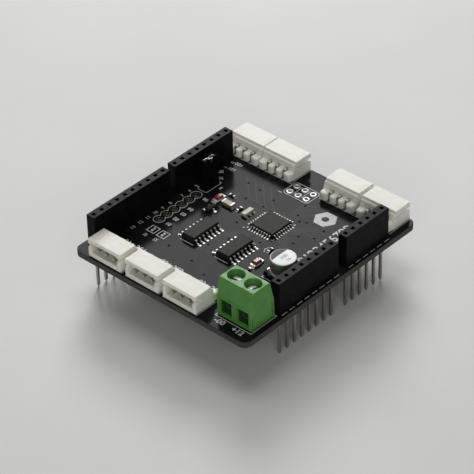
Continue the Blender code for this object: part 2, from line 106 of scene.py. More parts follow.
LEFT_PORTS = [port_place("left", number) for number in (1, 2, 3)]
PORTS = LEFT_PORTS + [port_place("right", number) for number in (1, 2, 3, 4)]
TERMINAL_LOW, TERMINAL_HIGH = local_box("terminal_block")
POLES = (1, 2)
TERMINAL_AT = Vector((TERMINAL_LOW.x, (TERMINAL_LOW.y + TERMINAL_HIGH.y) / 2))
JUMPER_AT = middle("jumper_base")
CAN_AT = middle("capacitor_can")
SPARE_ROW = [Vector((35.35 + index * PITCH, 46.4)) for index in range(6)]
PROGRAM_PADS = [Vector((63.63 + column * PITCH, 25.4 + row * PITCH))
                for column in range(2) for row in range(3)]


# ---- shapes in millimetres

def prism(outline, axis, low, high, shape=None):
    """Extrude a closed outline. axis z takes (x, y) points, axis y (x, z), axis x (y, z)."""
    order = {"x": (2, 0, 1), "y": (0, 2, 1), "z": (0, 1, 2)}[axis]
    return loft([[[(*point, depth)[index] for index in order] for point in outline]
                 for depth in (low, high)], shape)


def around(value, half):
    return (value - half, value + half)


def block(x, y, z, shape=None):
    """Box between (low, high) pairs; a plain number reaches as far on both sides of 0."""
    x, y = [around(0, span) if isinstance(span, float) else span for span in (x, y)]
    outline = [(x[0], y[0]), (x[1], y[0]), (x[1], y[1]), (x[0], y[1])]
    return prism(outline, "z", z[0], z[1], shape)


def loft(rings, shape=None, looped=False):
    """Skin over rings of points that have the same count: capped, or looped into a hoop."""
    shape = shape or bmesh.new()
    rows = [[shape.verts.new(point) for point in ring] for ring in rings]
    faces = [] if looped else [shape.faces.new(rows[0]), shape.faces.new(rows[-1])]
    for lower, upper in zip(rows, rows[1:] + (rows[:1] if looped else [])):
        for index in range(len(lower)):
            after = (index + 1) % len(lower)
            faces.append(shape.faces.new((lower[index], lower[after], upper[after], upper[index])))
    bmesh.ops.recalc_face_normals(shape, faces=faces)
    return shape


def disc(centre, radius, sides):
    steps = [2 * pi * (index + 0.5) / sides for index in range(sides)]
    return [Vector((centre[0] + radius * cos(s), centre[1] + radius * sin(s))) for s in steps]


def lathe(profile, sides, at=(0, 0), shape=None):
    """Turned skin about z; the profile of (radius, z) starts and ends near the axis."""
    rings = [[(*point, z) for point in disc(at, max(radius, 0.001), sides)] for radius, z in profile]
    return loft(rings, shape)


def square_ring(half_x, half_y, z, at=(0, 0)):
    return [(at[0] - half_x, at[1] - half_y, z), (at[0] + half_x, at[1] - half_y, z),
            (at[0] + half_x, at[1] + half_y, z), (at[0] - half_x, at[1] + half_y, z)]


def tapered(levels, shape=None):
    """Block whose rectangle changes through (half x, half y, z, place) levels."""
    return loft([square_ring(*level) for level in levels], shape)


def square_pin(at, levels, shape=None):
    """Square bar along z through (z, half width) levels."""
    return tapered([(half, half, z, at) for z, half in levels], shape)


def arc(centre, radius, start, end, steps):
    angles = [radians(start + (end - start) * step / steps) for step in range(steps + 1)]
    return [Vector((centre[0] + radius * cos(a), centre[1] + radius * sin(a))) for a in angles]


def softened(points, radius, steps=4):
    """The same path with each inner corner rounded."""
    points = [Vector(point) for point in points]
    path = [points[0]]
    for before, corner, after in zip(points, points[1:], points[2:]):
        back = min(radius, (corner - before).length / 2, (after - corner).length / 2)
        first = corner + (before - corner).normalized() * back
        last = corner + (after - corner).normalized() * back
        for step in range(steps + 1):
            t = step / steps
            path.append(first * (1 - t) ** 2 + corner * 2 * t * (1 - t) + last * t ** 2)
    return path + [points[-1]]


def side_points(points, width, closed=False, overrun=0.0):
    """Points to the left and right of a path, mitred at its corners."""
    lefts = []
    rights = []
    count = len(points)
    for index, point in enumerate(points):
        ways = []
        if index or closed:
            ways.append((point - points[index - 1]).normalized())
        if index < count - 1 or closed:
            ways.append((points[(index + 1) % count] - point).normalized())
        along = (ways[0] + ways[-1]).normalized()
        normal = Vector((-along.y, along.x))
        reach = width / 2 / max(0.5, normal.dot(Vector((-ways[0].y, ways[0].x))))
        end = 0 if closed else (index == count - 1) - (index == 0)
        place = point + along * overrun * end
        lefts.append(place + normal * reach)
        rights.append(place - normal * reach)
    return lefts, rights


def thick_line(points, thickness):
    """Closed outline of a bent strip, from its middle line."""
    lefts, rights = side_points([Vector(point) for point in points], thickness)
    return lefts + rights[::-1]


def stroke(shape, points, width, low, high, closed=False):
    """Flat raised line on the board."""
    lefts, rights = side_points([Vector(point) for point in points], width, closed, width / 2)
    loft([[(*left, low), (*left, high), (*right, high), (*right, low)]
          for left, right in zip(lefts, rights)], shape, closed)


def add_object(name, data):
    item = bpy.data.objects.new(name, data)
    bpy.context.scene.collection.objects.link(item)
    return item


def mesh_of(name, shape):
    mesh = bpy.data.meshes.new(name)
    shape.to_mesh(mesh)
    shape.free()
    return mesh


def linked(shape):
    return add_object("shape", mesh_of("shape", shape))


def evaluated(item, *tools):
    """The object's shape after its modifiers; the object and its tools are removed."""
    result = bmesh.new()
    result.from_mesh(item.evaluated_get(bpy.context.evaluated_depsgraph_get()).to_mesh())
    for used in (item, *tools):
        mesh = used.data
        bpy.data.objects.remove(used, do_unlink=True)
        bpy.data.meshes.remove(mesh)
    return result


def combine(first, second, operation):
    """Union or difference of two shapes, which are used up."""
    body = linked(first)
    tool = linked(second)
    modifier = body.modifiers.new(operation, "BOOLEAN")
    modifier.operation = operation
    modifier.object = tool
    return evaluated(body, tool)


def cut(body, *tools):
    for tool in tools:
        body = combine(body, tool, "DIFFERENCE")
    return body


def join(body, tool):
    return combine(body, tool, "UNION")


def rounded(shape, width, segments=2, angle=30):
    """Round every edge that is sharper than angle."""
    item = linked(shape)
    modifier = item.modifiers.new("round", "BEVEL")
    modifier.width = width
    modifier.segments = segments
    modifier.limit_method = "ANGLE"
    modifier.angle_limit = radians(angle)
    modifier.use_clamp_overlap = True
    return evaluated(item)


# ---- materials

class Finish:
    """A Principled material whose colour, roughness and relief come from procedural nodes."""

    def __init__(self, name, colour, roughness, metallic=0.0, **sockets):
        self.material = bpy.data.materials.new(name)
        self.material.use_nodes = True
        self.nodes = self.material.node_tree.nodes
        self.shader = self.nodes["Principled BSDF"]
        self.set("Base Color", (*colour, 1.0))
        self.set("Roughness", roughness)
        self.set("Metallic", metallic)
        for socket, value in sockets.items():
            self.set(socket.replace("_", " "), value)
        self.place = self.nodes.new("ShaderNodeTexCoord").outputs["Object"]
        self.relief = None

    def set(self, socket, value):
        self.shader.inputs[socket].default_value = value

    def link(self, source, target):
        self.material.node_tree.links.new(source, target)

    def add(self, kind, sources, **values):
        """A node whose sockets take fixed values, or what the sources give."""
        node = self.nodes.new(kind)
        for socket, value in values.items():
            node.inputs[socket.replace("_", " ")].default_value = value
        for socket, source in sources.items():
            self.link(source, node.inputs[socket])
        return node

    def noise(self, per_mm, detail=3.0, stretch=(1, 1, 1), distortion=0.0):
        """Noise with so many features per millimetre, squeezed along the stretch axes."""
        scale = [per_mm / MM * value for value in stretch]
        mapping = self.add("ShaderNodeMapping", {"Vector": self.place}, Scale=scale)
        texture = self.add("ShaderNodeTexNoise", {"Vector": mapping.outputs["Vector"]}, Scale=1.0,
                           Detail=detail, Distortion=distortion)
        return texture.outputs["Fac"]

    def ramp(self, factor, stops):
        """Colour ramp over (position, colour) stops."""
        node = self.nodes.new("ShaderNodeValToRGB")
        elements = node.color_ramp.elements
        for index, (position, colour) in enumerate(stops):
            element = elements[index] if index < 2 else elements.new(position)
            element.position = position
            element.color = (*colour, 1.0)
        self.link(factor, node.inputs["Fac"])
        return node.outputs["Color"]

    def multiply(self, factor, first, second):
        """The first colour multiplied by the second, as strongly as the factor says."""
        node = self.nodes.new("ShaderNodeMix")
        node.data_type = "RGBA"
        node.blend_type = "MULTIPLY"
        sockets = {item.name: item for item in node.inputs if item.enabled}
        sockets["Factor"].default_value = factor
        self.link(first, sockets["A"])
        self.link(second, sockets["B"])
        return [item for item in node.outputs if item.enabled][0]

    def colour_from(self, output):
        self.link(output, self.shader.inputs["Base Color"])
        return self

    def mottled(self, first, second, per_mm, detail=4.0, stretch=(1, 1, 1)):
        """Base colour that wanders between two colours."""
        factor = self.noise(per_mm, detail, stretch)
        return self.colour_from(self.ramp(factor, [(0.35, first), (0.65, second)]))

    def uneven(self, low, high, per_mm, stretch=(1, 1, 1)):
        """Roughness that wanders between two values."""
        node = self.add("ShaderNodeMapRange", {"Value": self.noise(per_mm, 4.0, stretch)},
                        From_Min=0.3, From_Max=0.7, To_Min=low, To_Max=high)
        self.link(node.outputs["Result"], self.shader.inputs["Roughness"])
        return self

    def bumps(self, per_mm, height, detail=3.0, stretch=(1, 1, 1)):
        """Add relief of so many millimetres from noise."""
        return self.relief_from(self.noise(per_mm, detail, stretch), height)

    def relief_from(self, factor, height):
        """Add relief of so many millimetres over what is there already."""
        sources = {"Height": factor}
        if self.relief:
            sources["Normal"] = self.relief
        self.relief = self.add("ShaderNodeBump", sources, Distance=height * MM).outputs["Normal"]
        self.link(self.relief, self.shader.inputs["Normal"])
        return self


def solder_mask(name, first, second, roughness, shine):
    return (Finish(name, first, roughness, Specular_IOR_Level=shine)
            .mottled(first, second, 0.12, 5.0)
            .uneven(roughness - 0.03, roughness + 0.05, 0.3)
            .bumps(1.6, 0.003, 2.0).bumps(14.0, 0.001).material)


def make_laminate():
    """Routed edge of woven glass laminate: layered, dusty grey-brown."""
    finish = Finish("laminate_edge", (0.2, 0.19, 0.16), 0.75)
    layers = finish.noise(7.0, 4.0, (0.05, 0.05, 1.0), 0.4)
    fibres = finish.noise(5.0, 3.0, (1.0, 1.0, 3.0))
    base = finish.ramp(layers, [(0.3, (0.028, 0.027, 0.023)), (0.5, (0.055, 0.052, 0.044)),
                                (0.7, (0.1, 0.095, 0.08))])
    shade = finish.ramp(fibres, [(0.3, (0.4, 0.4, 0.4)), (0.7, (1, 1, 1))])
    finish.colour_from(finish.multiply(0.5, base, shade))
    return finish.relief_from(fibres, 0.03).relief_from(layers, 0.02).material


def black_plastic(name, roughness=0.33, shine=0.041):
    return (Finish(name, (0.005, 0.005, 0.006), roughness, Specular_IOR_Level=shine)
            .mottled((0.004, 0.004, 0.005), (0.008, 0.008, 0.009), 0.5)
            .uneven(roughness - 0.03, roughness + 0.06, 0.8)
            .bumps(9.0, 0.003).bumps(0.4, 0.01).material)


def green_plastic(name, first, second):
    return (Finish(name, first, 0.38, Subsurface_Weight=0.2, Subsurface_Scale=0.0008,
                   Subsurface_Radius=(0.5, 1.0, 0.3), Specular_IOR_Level=0.3)
            .mottled(first, second, 0.3)
            .uneven(0.32, 0.48, 0.7)
            .bumps(8.0, 0.006).bumps(0.3, 0.015, 1.0).material)


def bare_metal(name, first, second, roughness, grain=(1, 1, 1), per_mm=3.0, relief=0.004):
    return (Finish(name, first, roughness, 1.0)
            .mottled(first, second, per_mm * 0.4, 4.0, grain)
            .uneven(max(0.05, roughness - 0.1), roughness + 0.12, per_mm, grain)
            .bumps(per_mm * 2, relief, 3.0, grain).material)


def resin(name, first, second, roughness):
    """Moulded chip resin with a fine sparkle of filler."""
    finish = Finish(name, first, roughness, Specular_IOR_Level=0.06)
    grain = finish.noise(16.0, 2.0)
    finish.colour_from(finish.ramp(grain, [(0.4, first), (0.72, second)]))
    finish.uneven(roughness - 0.03, roughness + 0.05, 2.0)
    return finish.relief_from(grain, 0.004).material


def ceramic(name, first, second):
    return Finish(name, first, 0.42).mottled(first, second, 3.0).bumps(9.0, 0.006).material


MASK = solder_mask("solder_mask", (0.0085, 0.009, 0.0095), (0.0125, 0.013, 0.0135), 0.14, 0.029)
MASK_ON_COPPER = solder_mask("mask_over_copper", (0.0115, 0.012, 0.012), (0.016, 0.016, 0.0155),
                             0.16, 0.042)
LAMINATE = make_laminate()
BLACK = black_plastic("black_moulding")
SATIN_BLACK = black_plastic("satin_black", 0.42)
DULL_BLACK = black_plastic("dull_black", 0.7, 0.02)
WHITE = (Finish("white_nylon", (0.9, 0.885, 0.81), 0.36, Subsurface_Weight=0.3, Subsurface_Scale=0.0008,
                Subsurface_Radius=(1.0, 0.95, 0.75), Specular_IOR_Level=0.2)
         .mottled((0.89, 0.875, 0.8), (0.91, 0.895, 0.82), 0.35)
         .uneven(0.3, 0.46, 0.6)
         .bumps(6.0, 0.003).bumps(0.35, 0.005, 1.0).material)
GREEN = green_plastic("green_plastic", (0.085, 0.27, 0.053), (0.11, 0.32, 0.073))
# darker green for the faces inside the terminal housing: painted shade in its clamp rooms and wire entries
PAINTED_SHADE_GREEN = green_plastic("green_painted_shade", (0.025, 0.085, 0.018), (0.03, 0.1, 0.022))
TIN = bare_metal("tinned_pin", (0.30, 0.285, 0.235), (0.42, 0.40, 0.345), 0.34, (1, 1, 0.12))
BRIGHT_TIN = bare_metal("bright_tin", (0.52, 0.51, 0.46), (0.68, 0.67, 0.63), 0.48)
SOLDER = bare_metal("solder", (0.54, 0.54, 0.51), (0.70, 0.70, 0.67), 0.42, per_mm=1.2)
DULL_COPPER = bare_metal("dull_copper", (0.10, 0.07, 0.05), (0.16, 0.12, 0.08), 0.5, per_mm=1.2)
PORT_TIN = bare_metal("port_tin", (0.50, 0.47, 0.38), (0.62, 0.59, 0.49), 0.5)
STEEL = bare_metal("plated_steel", (0.5, 0.51, 0.5), (0.64, 0.64, 0.63), 0.42, per_mm=4.0, relief=0.003)
CAN = (Finish("can_aluminium", (0.74, 0.76, 0.74), 0.46, 1.0)
       .mottled((0.68, 0.70, 0.68), (0.82, 0.84, 0.82), 3.0, 3.0, (1, 1, 0.1))  # upright draw lines
       .uneven(0.4, 0.55, 1.5)
       .bumps(8.0, 0.003).material)
CAN_TOP = (Finish("can_lacquer", (0.72, 0.74, 0.74), 0.5, 0.15)
           .mottled((0.68, 0.70, 0.70), (0.76, 0.78, 0.78), 1.5)
           .uneven(0.42, 0.56, 1.5)
           .bumps(6.0, 0.003).material)
RESIN = resin("package_resin", (0.024, 0.0232, 0.0195), (0.034, 0.032, 0.027), 0.42)
PRINT = resin("printed_grey", (0.14, 0.135, 0.125), (0.19, 0.18, 0.17), 0.5)
PALE_PRINT = resin("pale_print", (0.3, 0.3, 0.3), (0.4, 0.4, 0.4), 0.5)
CREAM = ceramic("cream_ceramic", (0.42, 0.405, 0.3), (0.5, 0.48, 0.37))
TAN = ceramic("tan_ceramic", (0.26, 0.205, 0.15), (0.34, 0.275, 0.2))
ALUMINA = ceramic("alumina", (0.7, 0.7, 0.68), (0.8, 0.8, 0.78))
RED = (Finish("red_lens", (0.3, 0.03, 0.03), 0.18, Transmission_Weight=0.35, IOR=1.5,
              Subsurface_Weight=0.3, Subsurface_Scale=0.0005)
       .mottled((0.3, 0.03, 0.03), (0.45, 0.045, 0.045), 2.0)
       .bumps(2.0, 0.01).material)
SILK = (Finish("silk_ink", (0.72, 0.74, 0.74), 0.55)
        .mottled((0.5, 0.52, 0.52), (0.72, 0.74, 0.74), 5.0, 4.0)
        .bumps(10.0, 0.004).material)
FLOOR = (Finish("pale_floor", (0.78, 0.78, 0.77), 0.6)
         .mottled((0.77, 0.77, 0.76), (0.8, 0.8, 0.79), 0.02)
         .bumps(1.5, 0.01).material)


# ---- placing pieces

def mesh_from(name, shape, finishes, sharp=38):
    """Mesh in metres from a shape, smooth up to the sharp angle; faces index the finishes."""
    mesh = mesh_of(name, shape)
    mesh.transform(Matrix.Scale(MM, 4))
    for material in finishes:
        mesh.materials.append(material)
    mesh.shade_smooth()
    mesh.set_sharp_from_angle(angle=radians(sharp))
    return mesh


def piece(name, shape, finishes, at=(0, 0), sharp=38, **how):
    """Place a shape that has one finish or a list of them; how holds what place() takes."""
    finishes = finishes if isinstance(finishes, list) else [finishes]
    place(name, mesh_from(name, shape, finishes, sharp), at, **how)


def place(name, mesh, at, z=0.0, turned=0, body="board", node=None, slot=None, normals=True):
    """Put a piece on the board. It rides on a CAD body and may stand for a CAD node."""
    item = add_object(name, mesh)
    item.location = Vector((at[0] + ORIGIN.x, at[1] + ORIGIN.y, z + BOARD_HIGH.z)) * MM
    item.rotation_euler = (0.0, 0.0, radians(turned))
    if normals:
        weighted = item.modifiers.new("normals", "WEIGHTED_NORMAL")
        weighted.keep_sharp = True
    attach(item, body)
    if node:
        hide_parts(node)


# ---- circuit board

COPPER_HIGH = 0.035         # how far the solder starts below the board
INK = (0.02, 0.045)         # height range of the printed ink
DRILL = 1.02                # strip, port and jumper pins
BIG_DRILL = 1.35            # terminal legs
SPARE_DRILL = 0.95          # bare row of six
PROGRAM_DRILL = 0.8         # bare pads for programming


def plated_holes():
    """Each hole's place, drill and pad diameters, and its solder's (pin, pad, height, sides)."""
    kinds = (
        ([at for strip in STRIPS for at in strip_pins(strip)], DRILL, 1.75, (0.4, 0.82, 0.95, 20)),
        ([Vector((mouth.x + inwards * PORT_BEND, mouth.y + w)) for _, mouth, inwards in PORTS
          for w in PORT_PINS_W], DRILL, 1.4, (0.38, 0.7, 0.9, 20)),
        ([leg_tail(number) for number in POLES], BIG_DRILL, 2.6, (0.5, 1.2, 1.1, 24)),
        ([JUMPER_AT + Vector((x, 0)) for x in (-PITCH / 2, PITCH / 2)], DRILL, 1.7, (0.38, 0.78, 0.9, 20)),
        (PROGRAM_PADS, PROGRAM_DRILL, 2.0, None),
        (SPARE_ROW, SPARE_DRILL, 1.8, None),
    )
    return [(at, *kind) for places, *kind in kinds for at in places]


def leg_tail(number):
    """Where a terminal leg's tail passes through the board."""
    low, high = local_box(f"terminal_leg_{number}")
    return Vector((high.x - 0.2, (low.y + high.y) / 2))


def rounded_rectangle(x, y, radius, steps):
    """Closed outline whose corners are arcs; a single step makes them chamfers."""
    left, right = x[0] + radius, x[1] - radius
    low, high = y[0] + radius, y[1] - radius
    corners = ((right, high), (left, high), (left, low), (right, low))
    return [point for quarter, centre in enumerate(corners)
            for point in arc(centre, radius, 90 * quarter, 90 * quarter + 90, steps)]


def make_board():
    low, high = local_box("circuit_board")
    outline = rounded_rectangle((low.x, high.x), (low.y, high.y), 2.0, 12)
    slab = rounded(prism(outline, "z", -THICKNESS, 0.0), 0.05, 1, 60)
    drills = bmesh.new()
    for at, drill, *_ in plated_holes():
        prism(disc(at, drill / 2, 20), "z", -THICKNESS - 1, 1.0, drills)
    slab = cut(slab, drills)
    slab.normal_update()
    holes = [(at, drill / 2 + 0.05) for at, drill, *_ in plated_holes()]
    for face in slab.faces:
        centre = face.calc_center_median()
        if abs(face.normal.z) < 0.5:
            plated = any(hypot(centre.x - at.x, centre.y - at.y) < reach for at, reach in holes)
            face.material_index = 2 if plated else 1
    piece("circuit_board_visual", slab, [MASK, LAMINATE, SOLDER], node="circuit_board", normals=False)


def make_pads():
    """Domed plated rings round every hole, on both faces, turned down into the hole."""
    pads = bmesh.new()
    bare = bmesh.new()
    for at, drill, pad, _ in plated_holes():
        inner = drill / 2 - 0.03
        outer = pad / 2
        crown = 0.2 if drill == PROGRAM_DRILL else 0.08
        for face, sign in ((0.0, 1), (-THICKNESS, -1)):
            levels = [(inner, -0.3), (inner + 0.02, 0.0), (inner * 0.8 + outer * 0.2, crown * 0.8),
                      (inner * 0.55 + outer * 0.45, crown), (inner * 0.2 + outer * 0.8, crown * 0.6),
                      (outer, 0.03), (outer, -0.01)]
            rings = [[(*point, face + sign * rise) for point in disc(at, radius, 24)]
                     for radius, rise in levels]
            loft(rings, bare if drill == SPARE_DRILL else pads, looped=True)
    piece("hole_pads", pads, SOLDER, sharp=70, normals=False)
    piece("bare_pads", bare, DULL_COPPER, sharp=70, normals=False)


def fillet_profile(pin, pad, height, start):
    """Concave cone of solder that hangs from a pad and narrows down the pin."""
    steps = 6
    profile = [(0.0, start)]
    for step in range(steps + 1):
        t = step / steps
        radius = pin + (pad - pin) * (1 - t) ** 2.4
        profile.append((radius, start - (0.04 + height * t)))
    return profile + [(0.0, start - (height + 0.05))]


def make_solder_joints():
    joints = bmesh.new()
    for at, _, _, solder in plated_holes():
        if solder:
            pin, pad, height, sides = solder
            profile = fillet_profile(pin, pad, height, -THICKNESS - COPPER_HIGH)
            lathe(profile, sides, at, joints)
    piece("solder_joints", joints, SOLDER, sharp=60, normals=False)


def dogleg(start, end, diagonal_first=True):
    """Track from start to end made of one straight run and one 45 degree run."""
    start = Vector(start)
    end = Vector(end)
    way = end - start
    short = min(abs(way.x), abs(way.y))
    if short < 0.1 or abs(abs(way.x) - abs(way.y)) < 0.1:
        return [start, end]
    slant = Vector((short * (1 if way.x > 0 else -1), short * (1 if way.y > 0 else -1)))
    corner = start + slant if diagonal_first else end - slant
    return softened([start, corner, end], 0.5)


# plugged vias, scattered between the tracks
VIAS = [(29.4, 37.6), (32.6, 34.1), (35.6, 31.0), (43.9, 22.4), (59.8, 40.2), (54.6, 36.6), (58.3, 31.0),
        (54.8, 31.2), (57.6, 22.7), (56.0, 20.9), (56.7, 19.2), (62.2, 29.2), (62.2, 26.6), (61.6, 23.9),
        (53.2, 13.9), (56.8, 14.1), (46.2, 31.7), (40.2, 28.9), (48.6, 16.4), (45.2, 14.2), (64.6, 21.9),
        (33.4, 27.4), (28.6, 29.7), (26.6, 24.0), (30.2, 20.1), (42.6, 38.6), (59.4, 36.3), (51.4, 17.2)]


def fan(start, start_step, end, end_step, count, diagonal_first=True):
    """Side-by-side tracks between two evenly spaced rows of places."""
    return [dogleg(Vector(start) + index * Vector(start_step), Vector(end) + index * Vector(end_step),
                   diagonal_first) for index in range(count)]


def track_routes():
    """Tracks fan out from the controller chip to the strips, ports and logic chips."""
    chip = middle("microcontroller")
    side = 4.9
    low = local_box("analog_header")[1].y + 0.8
    high = local_box("digital_low_header")[0].y - 0.8
    left, right = chip.x - side, chip.x + side
    along, across, port = (0.8, 0), (0, 0.8), (0, 2.5)
    fans = (
        ((chip.x - 2.8, chip.y - side), along, (31.8, low), (PITCH, 0), 4),
        ((chip.x + 0.4, chip.y - side), along, (53.3, low), (PITCH, 0), 4),
        ((right, chip.y + 0.4), across, (61.4, 34.6), port, 4, False),
        ((right, chip.y - 2.8), across, (63.4, 16.6), port, 4, False),
        ((chip.x + 1.2, chip.y + side), along, (55.9, high), (PITCH, 0), 3, False),
        ((left, chip.y - 2.8), across, (41.8, 21.0), across, 4, False),
        ((left, chip.y + 0.4), across, (41.6, 30.2), across, 4),
        ((33.9, 39.6), (1.27, 0), (31.5, 42.0), (0.6, 0), 6),
        ((33.9, 21.0), (1.27, 0), (28.6, 15.5), (1.27, 0), 4),
        ((33.9, 28.9), (1.27, 0), (33.4, 31.2), (1.27, 0), 7),
    )
    return [route for each in fans for route in fan(*each)]


def make_tracks():
    """Tracks under the mask stand a hair proud; a mirrored copy of the same routes serves below."""
    proud = 0.004
    apart = 0.0002          # crossing tracks don't share a height
    tracks = bmesh.new()
    below = bmesh.new()
    for index, route in enumerate(track_routes()):
        stroke(tracks, route, 0.24, -0.01, proud + apart * index)
        mirrored = [Vector((point.x, FIRST_PIN.y + 2.5 - point.y)) for point in route]
        stroke(below, mirrored, 0.3, -THICKNESS - proud - apart * index, -THICKNESS + 0.01)
    for _, mouth, inwards in PORTS:
        for w, width in zip(PORT_PINS_W, (1.4, 1.4, 0.25)):
            start = Vector((mouth.x + inwards * PORT_BEND, mouth.y + w))
            stroke(tracks, [start, start + Vector((inwards * 2.6, 0))], width, -0.01, proud * 0.7)
    piece("tracks_top", tracks, MASK_ON_COPPER, normals=False)
    piece("tracks_below", below, MASK_ON_COPPER, normals=False)


def make_vias():
    """Plugged vias: a dull dark dimple with a faint rim."""
    rims = bmesh.new()
    pits = bmesh.new()
    for at in VIAS:
        for face, sign in ((0.0, 1), (-THICKNESS, -1)):
            foot = face - sign * 0.01
            stroke(rims, disc(at, 0.34, 16), 0.08, *sorted((foot, face + sign * 0.021)), closed=True)
            prism(disc(at, 0.31, 16), "z", *sorted((foot, face + sign * 0.018)), pits)
    piece("via_rims", rims, MASK, normals=False)
    piece("via_pits", pits, DULL_BLACK, normals=False)


# ---- printing

LABELS_Y = 48.75            # row of numerals beside the digital strips
# line of ticks printed beyond each strip's pins
TICKS_Y = {"power": 0.85, "analog": 0.85, "digital_high": 52.6, "digital_low": 52.6}
# printed number and place of each solder bridge
BRIDGES = {21: Vector((31.5, 44.6)), 22: Vector((31.5, 41.4))}


def numerals(shape, text, size, at, turned=0, weight=0.02, low=INK[0], high=INK[1]):
    """Add printed numerals, centred at a place."""
    curve = bpy.data.curves.new("numerals", "FONT")
    curve.body = text
    curve.size = size
    curve.offset = weight
    curve.resolution_u = 3
    curve.align_x = "CENTER"
    curve.align_y = "CENTER"
    curve.extrude = (high - low) / 2
    item = add_object("numerals", curve)
    made = item.evaluated_get(bpy.context.evaluated_depsgraph_get()).to_mesh()
    turn = Matrix.Rotation(radians(turned), 4, "Z")
    made.transform(Matrix.Translation((at[0], at[1], (low + high) / 2)) @ turn)
    shape.from_mesh(made)
    bpy.data.objects.remove(item, do_unlink=True)


def box_line(shape, x, y, width=0.2, corner=0.0):
    """Printed rectangle, with rounded corners when they have a radius."""
    outline = [(x[0], y[0]), (x[1], y[0]), (x[1], y[1]), (x[0], y[1])]
    if corner:
        outline = rounded_rectangle(x, y, corner, 3)
    stroke(shape, outline, width, *INK, closed=True)


def beaded_outline(places, radius):
    """Outline that bulges round each pad of a row along x and pinches between them."""
    pinch = degrees(acos(PITCH / 2 / radius))
    outline = []
    for at in reversed(places):
        outline += arc(at, radius, pinch, 180 - pinch, 6)
    outline += arc(places[0], radius, 180 - pinch, 180 + pinch, 6)[1:-1]
    for at in places:
        outline += arc(at, radius, 180 + pinch, 360 - pinch, 6)
    return outline + arc(places[-1], radius, -pinch, pinch, 6)[1:-1]


def print_outlines(ink):
    """Lines round the ports, pads and connectors, and a tick beyond each strip pin."""
    stroke(ink, beaded_outline(SPARE_ROW, 1.42), 0.15, *INK, closed=True)
    first, last = PROGRAM_PADS[0], PROGRAM_PADS[-1]
    low, high = TERMINAL_LOW, TERMINAL_HIGH
    boxes = [(around(at.x, 1.15), around(at.y, 1.15)) for at in BRIDGES.values()]
    for _, mouth, inwards in PORTS:
        ends = sorted((mouth.x + inwards * 0.2, mouth.x + inwards * 7.5))
        boxes.append((ends, around(mouth.y, 5.2), 0.16))
    boxes += [((low.x - 0.25, high.x + 0.2), (low.y - 0.2, high.y + 0.2)),
              ((first.x - 1.3, last.x + 1.3), (first.y - 1.3, last.y + 1.3), 0.18, 0.9),
              (around(JUMPER_AT.x, 2.75), around(JUMPER_AT.y, 1.48), 0.18, 0.5)]
    for box in boxes:
        box_line(ink, *box)
    for strip, y in TICKS_Y.items():
        for at in strip_pins(strip):
            stroke(ink, [(at.x - 0.75, y), (at.x + 0.75, y)], 0.2, *INK)
    for gap in (0.5, 1.5):
        y = first.y + gap * PITCH
        stroke(ink, [(first.x - 0.5, y), (last.x + 0.5, y)], 0.16, *INK)
    stroke(ink, disc((60.5, 16.8), 2.0, 6), 1.7, *INK, closed=True)


def print_labels(ink):
    """Plain numerals, each with its size, place, turn and extra weight."""
    corner = (PROGRAM_PADS[0].x - 1.7, PROGRAM_PADS[2].y + 1.6)
    labels = [(f"0{number}", 1.5, (at.x, 43.4), 90, 0.03)
              for number, at in enumerate(SPARE_ROW, start=1) if number != 5]
    for strip, unused, first in (("digital_high", 4, 13), ("digital_low", 0, 7)):
        labels += [(str(first - index), 1.35, (at.x, LABELS_Y), 0, 0.02)
                   for index, at in enumerate(strip_pins(strip)[unused:])]
    labels += [(str(number), 1.25, (28.9, at.y), 0, 0.03) for number, at in BRIDGES.items()]
    for number, (_, mouth, _) in enumerate(LEFT_PORTS, start=1):
        labels.append((f"-0{number}+ 25{number}", 2.0, (mouth.x + 9.5, mouth.y), -90, 0.04))
    labels += [(text, 2.1, (TERMINAL_AT.x - 1.45, TERMINAL_AT.y + w), -90, 0.05)
               for text, w in (("-00", 2.9), ("+12", -2.4))]
    labels += [("1", 1.4, corner, 0, 0.05), ("5", 1.3, (53.9, 43.8), 90, 0.03),
               ("31", 1.3, (57.0, 46.5), 45, 0.03), ("30", 1.3, (59.0, 48.2), 45, 0.03),
               ("101", 1.5, (61.4, 47.0), 90, 0.03), ("100", 1.5, (63.9, 47.0), 90, 0.03),
               ("0123456789", 3.6, (53.2, 10.4), 0, 0.07)]
    for label in labels:
        numerals(ink, *label)


def make_printing():
    ink = bmesh.new()
    print_outlines(ink)
    print_labels(ink)
    outline_chips(ink)
    piece("printing_top", ink, SILK, normals=False)
    under = bmesh.new()
    for _, mouth, inwards in PORTS:
        for w in (-5.1, 5.1):
            ends = [(mouth.x + inwards * 1.0, mouth.y + w), (mouth.x + inwards * 8.2, mouth.y + w)]
            stroke(under, ends, 0.16, -THICKNESS - INK[1], -THICKNESS - INK[0])
    piece("printing_below", under, SILK, normals=False)


def outline_chips(ink):
    """Lines beside the chips, marks at the controller's corners and a line round the can."""
    paths = [[middle(f"logic_chip_{number}") + Vector((x, y)) for y in (1.9, -1.9)]
             for number in (1, 2) for x in (-4.75, 4.75)]
    paths.append([CAN_AT + Vector(point) for point in ((-3.5, 0.9), (-3.5, 3.5), (3.5, 3.5), (3.5, 0.9))])
    paths.append(arc(middle("resistor_2") + Vector((-0.2, 0.1)), 1.25, -10, 150, 12))
    for path in paths:
        stroke(ink, path, 0.18, *INK)
    chip = middle("microcontroller")
    for x in (-1, 1):
        for y in (-1, 1):
            corner = chip + Vector((x * 4.0, y * 4.0))
            stroke(ink, [corner - Vector((x * 0.5, 0)), corner, corner - Vector((0, y * 0.5))], 0.16, *INK)
    prism(disc(chip + Vector((-4.5, 4.5)), 0.22, 12), "z", *INK, ink)


# ---- socket strips

